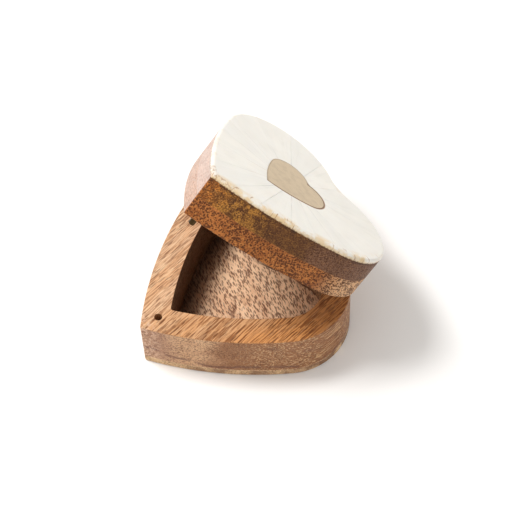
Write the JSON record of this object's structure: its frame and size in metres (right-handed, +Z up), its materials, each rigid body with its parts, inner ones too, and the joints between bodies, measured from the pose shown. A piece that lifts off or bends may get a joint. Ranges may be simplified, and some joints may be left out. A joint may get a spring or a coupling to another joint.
{
  "type": "heart-shaped hinged box",
  "caption": "Heart-shaped wooden keepsake box with a thick lid faced with bone tiles round a brass heart, standing open on rear hinges.",
  "frame": {"origin": "underside of the base on the middle plane, halfway between the heart's point and the back of its lobes", "axes": "+Z up, the heart's point towards -Y, the lobes and hinges towards +Y"},
  "size_m": [0.1014, 0.116, 0.1183],
  "materials": {
    "rim_wood": "oiled mango wood, open grain",
    "floor_wood": "oiled mango wood, short dark pores",
    "lid_lower_wood": "oiled wood, fine speckle",
    "lid_upper_wood": "oiled dark figured wood",
    "bone": null,
    "brass_inlay": "brushed pale brass",
    "hinge_brass": "pressed brass",
    "steel": "plain steel wire"
  },
  "bodies": {
    "base": {"floor_board": "floor_wood", "base_ring": "rim_wood", "left_hinge_base_leaf": "hinge_brass", "right_hinge_base_leaf": "hinge_brass", "left_hinge_pin": "steel", "right_hinge_pin": "steel", "base_hinge_screws": "hinge_brass"},
    "lid": {"lid_lower_plate": "lid_lower_wood", "lid_upper_plate": "lid_upper_wood", "lid_peg": "steel", "brass_heart": "brass_inlay", "bone_tile_01": "bone", "bone_tile_02": "bone", "bone_tile_03": "bone", "bone_tile_04": "bone", "bone_tile_05": "bone", "bone_tile_06": "bone", "bone_tile_07": "bone", "bone_tile_08": "bone", "bone_tile_09": "bone", "bone_tile_10": "bone", "bone_tile_11": "bone", "bone_tile_12": "bone", "bone_tile_13": "bone", "bone_tile_14": "bone", "bone_tile_15": "bone", "bone_tile_16": "bone", "left_hinge_lid_leaf": "hinge_brass", "right_hinge_lid_leaf": "hinge_brass", "lid_hinge_screws": "hinge_brass"}
  },
  "joints": [
    {"name": "lid_hinge", "type": "hinge", "parent": "base", "child": "lid", "pos_m": [0, 0.0506, 0.0313], "axis": [-1, 0, 0], "range_deg": [-45, 50]}
  ]
}
